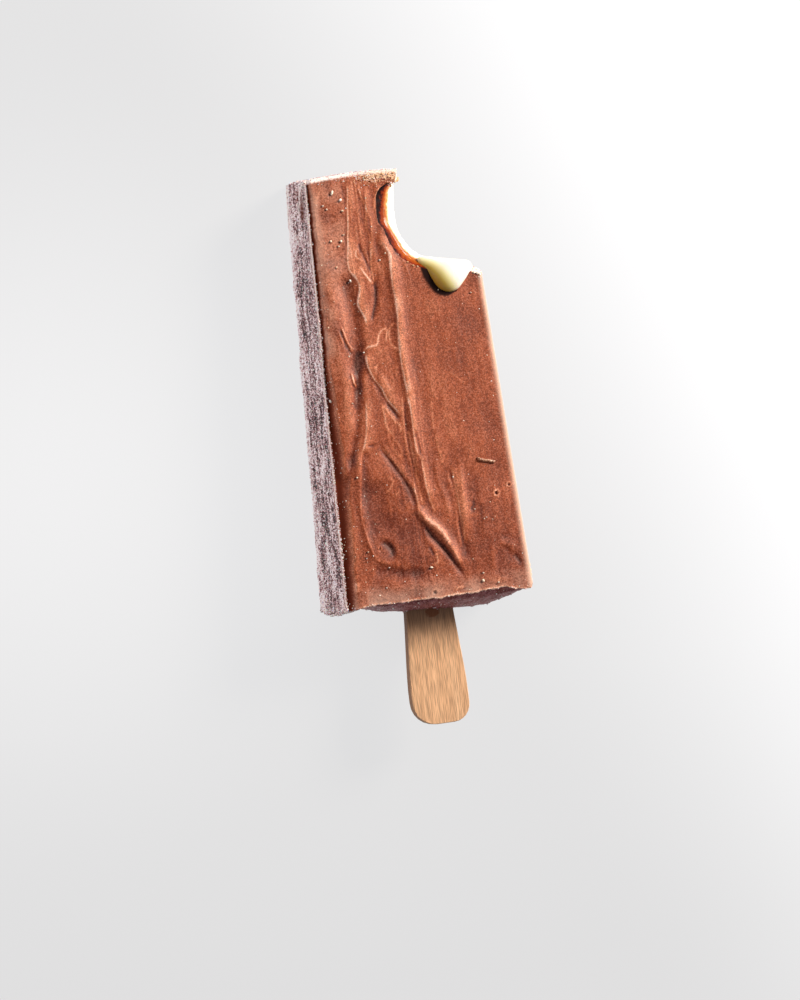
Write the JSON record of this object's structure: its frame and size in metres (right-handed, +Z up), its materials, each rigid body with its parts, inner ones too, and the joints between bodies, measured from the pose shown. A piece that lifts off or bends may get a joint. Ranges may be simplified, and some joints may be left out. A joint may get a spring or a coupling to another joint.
{
  "type": "ice cream bar",
  "caption": "Chocolate-coated ice cream bar on a flat wooden stick, one corner bitten off, with a caramel layer and a melting drip at the bite.",
  "frame": {"origin": "centre of the bar's flat back, on the surface that the bar lies on", "axes": "+Z up out of the bar's front face, +Y along the bar towards its bitten tip, the stick towards -Y"},
  "size_m": [0.0464, 0.1329, 0.0233],
  "materials": {
    "chocolate": "frosted satin",
    "caramel": "sticky gloss",
    "ice_cream": "frozen, fine-grained",
    "melted_ice_cream": "wet gloss",
    "wood": "sanded, bare"
  },
  "bodies": {
    "root": {"chocolate_coating": "chocolate", "caramel_layer": "caramel", "ice_cream": "ice_cream", "melt_drip": "melted_ice_cream", "wooden_stick": "wood"}
  },
  "joints": []
}
